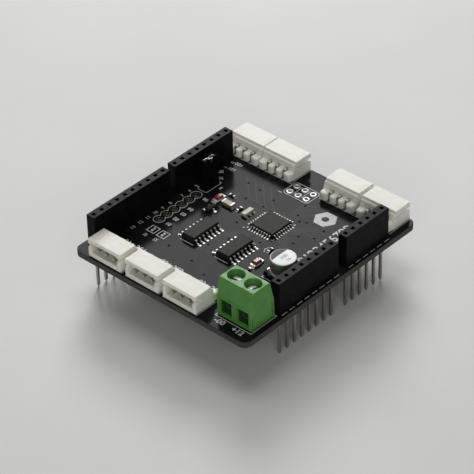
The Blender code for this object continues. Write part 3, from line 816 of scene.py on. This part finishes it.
def make_strip(strip):
    """Moulded strip with a square funnel over each contact and feet beneath."""
    pins = strip_pins(strip)
    low, high = local_box(strip + "_header")
    half = (high.y - low.y) / 2
    end = pins[0].x - low.x
    top = high.z
    columns = [index * PITCH for index in range(len(pins))]
    body = rounded(block((-end, columns[-1] + end), half, (low.z, top)), 0.09, 2)
    funnels = bmesh.new()
    wells = bmesh.new()
    reliefs = bmesh.new()
    for x in columns:
        tapered([(0.5, 0.5, top + 0.12, (x, 0)), (0.36, 0.36, top - 0.42, (x, 0))], funnels)
        block(around(x, 0.5), 0.45, (-1, top - 0.4), wells)
    for x in columns[1:]:
        block(around(x - PITCH / 2, 0.42), half + 1, (-1, low.z + 0.28), reliefs)
    body = rounded(cut(body, funnels, wells, reliefs), 0.03, 1, 40)
    piece(strip + "_housing", body, BLACK, pins[0], node=strip + "_header")

    contacts = bmesh.new()
    tip = local_box(strip + "_contacts")[0].z
    for x in columns:
        levels = [(tip, 0.13), (tip + 0.25, 0.2), (tip + 0.85, PIN / 2), (0.5, PIN / 2), (0.9, 0.3)]
        square_pin((x, 0), levels, contacts)
    contacts = rounded(contacts, 0.045, 1, 40)
    for x in columns:
        for side in (-1, 1):
            path = [(x + side * out, z) for out, z in ((0.2, 0.8), (0.4, 1.8), (0.22, 5.6), (0.4, 7.5))]
            prism(thick_line(softened(path, 0.9), 0.14), "y", -0.3, 0.3, contacts)
    piece(strip + "_contact_set", contacts, TIN, pins[0], node=strip + "_contacts")


# ---- servo ports

PORT_HALF = 5.1             # half width of a port
PORT_FLOOR = 0.1            # its underside above the board


def port_shape():
    """White housing in its own axes: u inwards from the mouth, w across, z up."""
    lip = arc((0.85, 2.15), 0.85, 180, 90, 8)
    notch = arc((1.42, 3.31), 0.31, -90, 90, 8)
    profile = [(0, PORT_FLOOR)] + lip + notch
    profile += [(0, 3.62), (0, 5.0), (5.3, 5.0), (5.3, 4.25), (5.75, 4.2), (6.3, 2.2), (6.3, PORT_FLOOR)]
    shell = prism(profile, "y", -PORT_HALF, PORT_HALF)
    shell = rounded(shell, 0.18, 3, 25)
    shell = cut(shell, block((5.75, 9.0), 3.75, (1.6, 3.8)))
    for side in (-1, 1):
        shell = cut(shell, block((0.9, 9.0), around(side * PORT_HALF, 0.22), (3.05, 3.4)))
    posts = bmesh.new()
    for low, high in ((-5.05, -2.86), (-2.14, -0.36), (0.36, 2.14), (2.86, 5.05)):
        outline = [(5.4, low)] + arc((7.12, low + 0.8), 0.8, -90, 0, 6)
        outline += arc((7.12, high - 0.8), 0.8, 0, 90, 6) + [(5.4, high)]
        prism(outline, "z", PORT_FLOOR, 2.45, posts)
    shell = join(shell, rounded(posts, 0.5, 5, 50))
    room = prism([(-1, 1.35), (0.7, 1.35), (0.95, 0.9), (5.1, 0.9), (5.1, 4.1), (-1, 4.1)],
                 "y", 1.05 - PORT_HALF, PORT_HALF - 1.05)
    keys = bmesh.new()
    for w in (-1.25, 1.25):
        block((1.6, 5.0), around(w, 0.28), (0.62, 1.2), keys)
    sockets = bmesh.new()
    for w in PORT_PINS_W:
        block((4.6, 7.0), around(w, PIN / 2 + 0.02), around(PORT_MIDDLE_Z, PIN / 2 + 0.02), sockets)
    return cut(shell, rounded(room, 0.12, 2, 40), keys, sockets)


def port_pin_shape():
    """Three right-angle square pins."""
    pins = bmesh.new()
    tail = local_box("servo_pins_left_1")[0].z
    path = softened([(0.5, PORT_MIDDLE_Z), (PORT_BEND, PORT_MIDDLE_Z), (PORT_BEND, tail)], 0.45, 6)
    for w in PORT_PINS_W:
        prism(thick_line(path, PIN), "y", w - PIN / 2, w + PIN / 2, pins)
    return rounded(pins, 0.07, 2, 50)


def make_ports():
    """All seven ports share one mesh for the housing and one for the pins."""
    shell = mesh_from("port_housing_left_1", port_shape(), [WHITE])
    pins = mesh_from("port_pin_set_left_1", port_pin_shape(), [PORT_TIN])
    for name, mouth, inwards in PORTS:
        turned = 90 - 90 * inwards
        place("port_housing_" + name, shell, mouth, turned=turned, node="servo_port_" + name)
        place("port_pin_set_" + name, pins, mouth, turned=turned, node="servo_pins_" + name)


# ---- screw terminal

POLES_W = (2.5, -2.5)       # the two poles across the terminal
SCREW_U = 3.9               # screws' distance behind its face


def terminal_shape():
    """Green housing with a clamp room, wire entry and screw bore for each pole; its inner faces carry a
    darker green as painted shade.
    """
    half = (TERMINAL_HIGH.y - TERMINAL_LOW.y) / 2
    floor = TERMINAL_LOW.z
    profile = [(0.15, floor), (0.15, 5.3), (0.3, 5.5), (1.0, 10.2), (6.6, 10.2), (7.85, 5.0), (8.0, floor)]
    shell = rounded(prism(profile, "y", -half, half), 0.26, 4, 50)
    sill = [(0.6, 5.05), (0.0, 5.2), (0.0, 5.38), (0.12, 5.5), (0.6, 5.72)]
    shell = join(shell, rounded(prism(sill, "y", 0.06 - half, half - 0.06), 0.06, 3, 20))
    rooms, fronts, bores, entries, slots, necks, grooves = [bmesh.new() for _ in range(7)]
    bore = [(0, 7.35), (1.78, 7.35), (1.82, 9.6), (2.0, 10.02), (2.12, 10.3), (0, 10.3)]
    for w in POLES_W:
        block((1.9, 6.1), around(w, 1.88), (0.7, 7.1), rooms)
        block((0.95, 2.6), around(w, 2.08), (0.62, 5.0), fronts)
        lathe(bore, 64, (SCREW_U, w), bores)
        entry = ((-0.4, 1.85, 0.45, 4.95), (0.3, 1.76, 0.75, 4.9), (1.4, 1.74, 0.9, 4.85))
        loft([[(u, w - wide, low), (u, w + wide, low), (u, w + wide, high), (u, w - wide, high)]
              for u, wide, low, high in entry], entries)
        block((6.0, 7.1), around(w, 1.2), (-1, 3.9), slots)
        prism(disc((SCREW_U, w), 1.5, 40), "z", 6.9, 7.6, necks)
    for side in (-1, 1):
        for u, low, high in ((7.1, 1.0, 4.5), (0.5, 0.3, 3.6)):
            block(around(u, 0.17), around(side * half, 0.35), (low, high), grooves)
    shell = cut(shell, rooms, fronts, bores, entries, slots, necks, grooves)
    # faces inside the housing take the darker green, painted shade where the rooms and wire entries fall in
    # shadow
    for face in shell.faces:
        at = face.calc_center_median()
        inside = 0.9 < at.x < 7.0 and floor + 0.2 < at.z < 7.4 and abs(at.y) < half - 0.2
        face.material_index = int(inside)
    return shell


def screw_shape():
    """Slotted screw that stands on its tip."""
    profile = [(0, 0), (0.8, 0), (1.0, 0.25), (1.25, 0.3), (1.25, 3.72), (1.45, 3.78), (1.62, 3.88),
               (1.65, 3.96), (1.65, 4.55), (1.6, 4.7), (1.48, 4.78), (1.2, 4.8), (0, 4.8)]
    screw = lathe(profile, 56)
    screw = cut(screw, block(2.0, 0.28, (4.2, 6)))
    return rounded(screw, 0.04, 2, 50)


def make_terminal():
    """Housing, and for each pole a screw, the clamp that it lifts and a contact leg."""
    piece("terminal_housing", terminal_shape(), [GREEN, PAINTED_SHADE_GREEN], TERMINAL_AT, node="terminal_block",
          sharp=50)
    for number, turned in ((1, -84), (2, -10)):
        at, _, bottom, _ = sized(f"terminal_screw_{number}")
        piece(f"clamp_screw_{number}", screw_shape(), STEEL, at, z=bottom, turned=turned,
              body=f"screw_{number}", node=f"terminal_screw_{number}", sharp=45)
        at, half, bottom, top = sized(f"wire_clamp_{number}")
        tall = top - bottom
        outer = block(half.x, half.y, (0, tall))
        window = block(3.0, half.y - 0.4, (0.4, tall - 0.8))
        bore = prism(disc((0, 0), 1.42, 40), "z", tall - 0.85, 6)
        cage = rounded(cut(rounded(outer, 0.3, 4, 60), window, bore), 0.05, 2, 50)
        piece(f"rising_clamp_{number}", cage, STEEL, at, z=bottom, body=f"clamp_{number}",
              node=f"wire_clamp_{number}", sharp=45)
        tail = sized(f"terminal_leg_{number}")[2]
        leg = join(block((-4.2, 0.2), 1.05, (3.2, 3.6)), block(0.2, 0.45, (tail, 3.4)))
        piece(f"contact_leg_{number}", rounded(leg, 0.06, 2, 50), TIN, leg_tail(number),
              node=f"terminal_leg_{number}")


# ---- jumper

def make_jumper():
    """Two-pin base, its pins, and the cap that pulls off with its spring clip."""
    half = PITCH / 2
    _, _, bottom, top = sized("jumper_base")
    base = bmesh.new()
    for x in (-half, half):
        prism(rounded_rectangle(around(x, half), (-half, half), 0.45, 1), "z", bottom, top, base)
    piece("jumper_socket", rounded(base, 0.08, 2), BLACK, JUMPER_AT, node="jumper_base")

    _, _, bottom, top = sized("jumper_pins")
    pins = bmesh.new()
    levels = [(bottom, 0.14), (bottom + 0.4, PIN / 2), (top - 0.5, PIN / 2), (top - 0.12, 0.2), (top, 0.13)]
    for x in (-half, half):
        square_pin((x, 0), levels, pins)
    piece("jumper_pin_pair", rounded(pins, 0.05, 2, 40), BRIGHT_TIN, JUMPER_AT, node="jumper_pins")

    _, size, bottom, top = sized("jumper_cap")
    tall = top - bottom
    cap = rounded(block(size.x, size.y, (0, tall)), 0.35, 4, 60)
    cap = cut(cap, block(2.05, 0.76, (-1, tall + 1)),
              block(2.25, 0.92, (tall - 0.45, tall + 1)),
              block(0.5, 2.0, (tall - 1.1, tall + 1)))
    piece("jumper_cap_shell", rounded(cap, 0.06, 2, 50), BLACK, JUMPER_AT, z=bottom, body="cap",
          node="jumper_cap")

    _, _, bottom, top = sized("jumper_clip")
    spring = bmesh.new()
    for side in (-1, 1):
        path = [(x, side * out) for x, out in ((-1.85, 0.38), (-1.6, 0.55), (-0.7, 0.5), (0, 0.12),
                                               (0.7, 0.5), (1.6, 0.55), (1.85, 0.38))]
        prism(thick_line(softened(path, 0.3), 0.12), "z", 0, top - bottom, spring)
    for x in (-1.85, 1.85):
        block(around(x, 0.08), 0.5, (0, top - bottom), spring)
    piece("jumper_cap_spring", spring, PORT_TIN, JUMPER_AT, z=bottom, body="cap", node="jumper_clip")


# ---- surface parts

LIFT = 0.05                 # solder under the leads and plated ends of surface parts
WET = 0.02                  # lowest level of the solder beside them


def make_can():
    """Can with a rolled rim, a bead low on its wall and a printed lid."""
    _, half, _, top = sized("capacitor_can")
    radius = half.x
    rim = 0.28
    shoulder = arc((radius - rim, top - 0.06 - rim), rim, 90, 0, 6)
    wall = ((0, 2.6), (0.05, 2.48), (0.24, 2.32), (0.3, 2.22), (0.28, 2.0), (0.26, 1.8), (0.07, 1.68),
            (0.01, 1.6), (0, 1.35), (0.12, 1.18))
    profile = [(0, top), (radius - 0.9, top - 0.02), (radius - 0.6, top - 0.045)] + shoulder
    profile += [(radius - inset, z) for inset, z in wall] + [(0, 1.18)]
    body = lathe(profile, 96)
    body.normal_update()
    for face in body.faces:
        height = face.calc_center_median().z
        lid = face.normal.z > 0.9 and height > top - 0.1
        face.material_index = int(lid or height < 1.8)
    piece("capacitor_body", body, [CAN, CAN_TOP], CAN_AT, node="capacitor_can", sharp=50,
          normals=False)
    chord = 1.15
    reach = radius - rim - 0.05
    start = degrees(asin(chord / reach))
    segment = prism(arc((0, 0), reach, start, 180 - start, 24), "z", top - 0.05, top)
    piece("capacitor_mark", segment, PRINT, CAN_AT, normals=False)
    digits = bmesh.new()
    numerals(digits, "100", 1.5, (0, -0.1), 0, 0.02, top - 0.03, top)
    numerals(digits, "16", 1.3, (0, -1.5), 0, 0.02, top - 0.04, top - 0.005)
    piece("capacitor_digits", digits, PALE_PRINT, CAN_AT, normals=False)


def make_can_foot():
    """Plastic foot with two chamfered corners and two raised ones, and a tab on each side."""
    _, half, bottom, top = sized("capacitor_base")
    chamfer = 1.3
    edge = half.x
    outline = [(-edge, edge), (-edge, chamfer - edge), (chamfer - edge, -edge), (edge - chamfer, -edge),
               (edge, chamfer - edge), (edge, edge)]
    base = rounded(prism(outline, "z", bottom, top), 0.12, 3, 30)
    walls = bmesh.new()
    near, far = edge - 0.08, edge - 1.35
    for side in (-1, 1):
        corner = [(side * near, near), (side * far, near), (side * near, far)]
        prism(corner, "z", top - 0.1, top + 0.55, walls)
    base = join(base, rounded(walls, 0.08, 2, 40))
    piece("capacitor_foot", base, SATIN_BLACK, CAN_AT, node="capacitor_base")
    for number, side in ((1, 1), (2, -1)):
        lead = rounded(block(0.33, sorted((side * 0.9, side * 3.83)), (0.05, 0.2)), 0.03, 1)
        wet = tapered([(0.9, 0.75, 0.03, (0, side * 3.75)), (0.6, 0.55, 0.12, (0, side * 3.7)),
                       (0.36, 0.3, 0.2, (0, side * 3.6))])
        piece(f"capacitor_tab_{number}", join(lead, wet), SOLDER, CAN_AT, node=f"capacitor_lead_{number}")


def gull_wing(edge, tip, shoulder, thickness, foot=0.5):
    """Outline of a lead that leaves the body, bends down and lies flat at its tip."""
    low = LIFT + thickness / 2
    path = [(edge - 0.3, shoulder), (edge + 0.3, shoulder), (tip - foot, low), (tip, low)]
    return thick_line(softened(path, 0.22, 4), thickness)


def package(name, node, ways, pitch, lead, four_sided):
    """Moulded chip package with formed leads on solder, and a pin-one dimple."""
    at, span, _, top = sized(node)
    half = Vector((span.y - 1.0, span.y - 1.0)) if four_sided else Vector((span.x, span.y - 1.05))
    parting = top * 0.55
    levels = ((0.1, 0.16), (parting - 0.06, 0.02), (parting + 0.06, 0.02), (top, 0.2))
    body = rounded(tapered([(half.x - inset, half.y - inset, z) for z, inset in levels]), 0.07, 2, 25)
    dimple = lathe([(0, top - 0.07), (0.3, top - 0.06), (0.36, top + 0.2), (0, top + 0.2)], 28,
                   (0.95 - half.x, 0.95 - half.y))
    piece(name + "_body", cut(body, dimple), RESIN, at, node=node, sharp=40)

    thickness = 0.13 if four_sided else 0.2
    foot = 0.42 if four_sided else 0.6
    toe = span.y + (0.25 if four_sided else 0.65)
    heel = span.y - foot - 0.1
    solder = [(heel, WET), (toe, WET), (toe - 0.03, 0.06), (span.y + 0.12, 0.1),
              (span.y - 0.02, 0.06 + thickness), (span.y - 0.1, 0.05), (heel + 0.1, 0.07)]
    leads = bmesh.new()
    wet = bmesh.new()
    quarters = 4 if four_sided else 2
    for quarter in range(quarters):
        turn = Matrix.Rotation(quarter * 2 * pi / quarters, 3, "Z")
        for shape, outline, width in ((leads, gull_wing(half.y, span.y, parting, thickness, foot), lead),
                                      (wet, solder, lead * 1.3)):
            begin = len(shape.verts)
            for index in range(ways):
                across = (index - (ways - 1) / 2) * pitch
                prism(outline, "x", across - width / 2, across + width / 2, shape)
            shape.verts.ensure_lookup_table()
            bmesh.ops.rotate(shape, verts=shape.verts[begin:], cent=(0, 0, 0), matrix=turn)
    piece(name + "_leads", rounded(leads, 0.03, 2, 50), BRIGHT_TIN, at)
    piece(name + "_solder", rounded(wet, 0.03, 2, 20), SOLDER, at, sharp=60)


def end_caps(half_length, half_width, low, high, cap):
    """Plated ends of a small part, wrapped round the body."""
    ends = bmesh.new()
    for side in (-1, 1):
        span = sorted((side * half_length, side * (half_length - cap)))
        block(span, half_width, (low, high), ends)
    return rounded(ends, 0.06, 2, 50)


def end_fillets(half_length, half_width, high, reach=0.4):
    """Wedge of solder at each end."""
    inner = half_length - 0.3
    outer = half_length + reach
    wedge = ((inner, WET), (outer, WET), (outer - 0.06, 0.06), (half_length + 0.1, high * 0.35),
             (half_length + 0.015, high * 0.75), (inner, high * 0.75))
    wet = bmesh.new()
    for side in (-1, 1):
        prism([(side * out, z) for out, z in wedge], "y", -half_width * 0.94, half_width * 0.94, wet)
    return rounded(wet, 0.05, 2, 20)


def small_part(node, finish, slot, turned=0, cap=0.2):
    """Chip resistor or capacitor with plated ends that cover a share cap of its length."""
    at, half, _, top = sized(node)
    if turned:
        half = half.yx
    inset = 0.03
    body = block(half.x - inset, half.y - inset, (0.08, top - inset))
    ends = end_caps(half.x, half.y, LIFT, top, half.x * 2 * cap)
    piece(node + "_body", rounded(body, 0.05, 2), finish, at, turned=turned, node=node, slot=slot)
    piece(node + "_ends", ends, BRIGHT_TIN, at, turned=turned)
    piece(node + "_solder", end_fillets(half.x, half.y, top), SOLDER, at, turned=turned, sharp=60)


def lamp(node):
    """Red lamp: pale base with plated ends under a clear red block."""
    at, half, _, top = sized(node)
    base = rounded(block(half.x - 0.02, half.y, (0.06, 0.42)), 0.04, 2)
    piece(node + "_base", base, ALUMINA, at, node=node)
    dome = tapered([(half.x * 0.62, half.y - 0.05, 0.4), (half.x * 0.6, half.y - 0.08, top * 0.8),
                    (half.x * 0.5, half.y - 0.25, top)])
    piece(node + "_lens", rounded(dome, 0.12, 3, 20), RED, at, sharp=60)
    piece(node + "_ends", end_caps(half.x, half.y + 0.01, LIFT, 0.46, 0.55), BRIGHT_TIN, at)
    piece(node + "_solder", end_fillets(half.x, half.y, 0.6, 0.5), SOLDER, at, sharp=60)


def make_resonator():
    """Ceramic block with three plated bands and a foot of solder at each band's ends."""
    at, half, _, top = sized("resonator")
    body = rounded(block(half.x - 0.02, half.y - 0.02, (0.08, top)), 0.06, 2)
    piece("resonator_body", body, CREAM, at, node="resonator")
    bands = bmesh.new()
    wet = bmesh.new()
    for x in (-1.3, 0.0, 1.3):
        block(around(x, 0.22), half.y, (LIFT, top * 0.55), bands)
        for side in (-1, 1):
            tapered([(0.32, 0.42, WET, (x, side * (half.y + 0.1))), (0.28, 0.3, 0.1, (x, side * half.y)),
                     (0.22, 0.1, 0.4, (x, side * (half.y - 0.06)))], wet)
    piece("resonator_bands", rounded(bands, 0.03, 1, 50), BRIGHT_TIN, at)
    piece("resonator_solder", wet, SOLDER, at, sharp=60)


def make_transistor():
    """Small resin body with two leads on one side and one on the other."""
    at, _, _, top = sized("transistor")
    body = tapered([(1.4, 0.58, 0.12), (1.45, 0.65, 0.55), (1.34, 0.54, top)])
    piece("transistor_body", rounded(body, 0.06, 2, 25), RESIN, at, node="transistor")
    leads = bmesh.new()
    wet = bmesh.new()
    for x, side in ((-0.95, 1), (0.95, 1), (0.0, -1)):
        outline = [(side * point.x, point.y) for point in gull_wing(0.65, 1.25, 0.5, 0.12, 0.35)]
        prism(outline, "x", x - 0.2, x + 0.2, leads)
        tapered([(0.36, 0.5, WET, (x, side * 1.2)), (0.3, 0.4, 0.08, (x, side * 1.2)),
                 (0.2, 0.15, 0.16, (x, side * 1.15))], wet)
    piece("transistor_leads", rounded(leads, 0.02, 1, 50), BRIGHT_TIN, at)
    piece("transistor_solder", wet, SOLDER, at, sharp=60)


def make_bridge_pads():
    """Two domes of solder side by side in each bridge's printed box."""
    dome = [(0, 0.0), (0.4, 0.0), (0.36, 0.14), (0.22, 0.24), (0, 0.28)]
    blobs = bmesh.new()
    for at in BRIDGES.values():
        for x in (-0.42, 0.42):
            lathe(dome, 20, (at.x + x, at.y), blobs)
    piece("bridge_pads", blobs, SOLDER, sharp=60, normals=False)


def make_surface_parts():
    make_can()
    make_can_foot()
    package("controller_chip", "microcontroller", 8, 0.8, 0.34, True)
    for number in (1, 2):
        package(f"driver_chip_{number}", f"logic_chip_{number}", 7, 1.27, 0.42, False)
    lamp("power_lamp")
    lamp("status_lamp")
    small_part("filter_capacitor", TAN, "ceramic_body", turned=90, cap=0.16)
    for number in (1, 2, 3):
        small_part(f"resistor_{number}", RESIN, "chip_body")
    small_part("resistor_4", RESIN, "chip_body", turned=90)
    make_resonator()
    make_transistor()
    make_bridge_pads()


# ---- camera, floor and light

LIT = (0, 0, 0.01)          # where the lights point
VIEW_FROM = (-0.31715, -0.29348, 0.3354)
VIEW_ALONG = (0.5848, 0.5465, -0.5994)
VIEW_ROLL = -1.4            # degrees
VIEW_WIDTH = 11.61          # degrees across the square view


def make_camera():
    camera = add_object("camera", bpy.data.cameras.new("camera"))
    camera.location = VIEW_FROM
    turn = Vector(VIEW_ALONG).to_track_quat("-Z", "Y").to_matrix().to_4x4()
    camera.rotation_euler = (turn @ Matrix.Rotation(radians(VIEW_ROLL), 4, "Z")).to_euler()
    camera.data.sensor_width = 36.0
    camera.data.lens = 18.0 / tan(radians(VIEW_WIDTH / 2))
    camera.data.clip_start = 0.01
    bpy.context.scene.camera = camera


def make_floor():
    size = 3.0
    mesh = bpy.data.meshes.new("floor")
    corners = [(-size, -size, 0), (size, -size, 0), (size, size, 0), (-size, size, 0)]
    mesh.from_pydata(corners, [], [(0, 1, 2, 3)])
    mesh.materials.append(FLOOR)
    floor = add_object("floor", mesh)
    floor.location = (0, 0, -0.00005)


def area_light(name, at, size, power):
    """Square white light that faces the board."""
    light = bpy.data.lights.new(name, "AREA")
    light.shape = "SQUARE"
    light.size = size
    light.energy = power
    item = add_object(name, light)
    item.location = at
    item.rotation_euler = (Vector(LIT) - Vector(at)).to_track_quat("-Z", "Y").to_euler()


def make_light():
    world = bpy.data.worlds.new("studio")
    world.use_nodes = True
    background = world.node_tree.nodes["Background"]
    background.inputs["Color"].default_value = (1.0, 0.985, 0.95, 1.0)
    background.inputs["Strength"].default_value = 0.09
    bpy.context.scene.world = world
    area_light("overhead", (0.1, 0.16, 0.62), 0.4, 1.15)
    area_light("back", (0.5, 0.46, 0.5), 0.33, 3.4)
    area_light("front", (-0.5, -0.45, 0.35), 0.5, 1.6)


make_camera()
make_board()
make_pads()
make_solder_joints()
make_tracks()
make_vias()
make_printing()
for strip_name in STRIPS:
    make_strip(strip_name)
make_ports()
make_terminal()
make_jumper()
make_surface_parts()
make_floor()
make_light()
bpy.context.scene.view_settings.view_transform = "Standard"
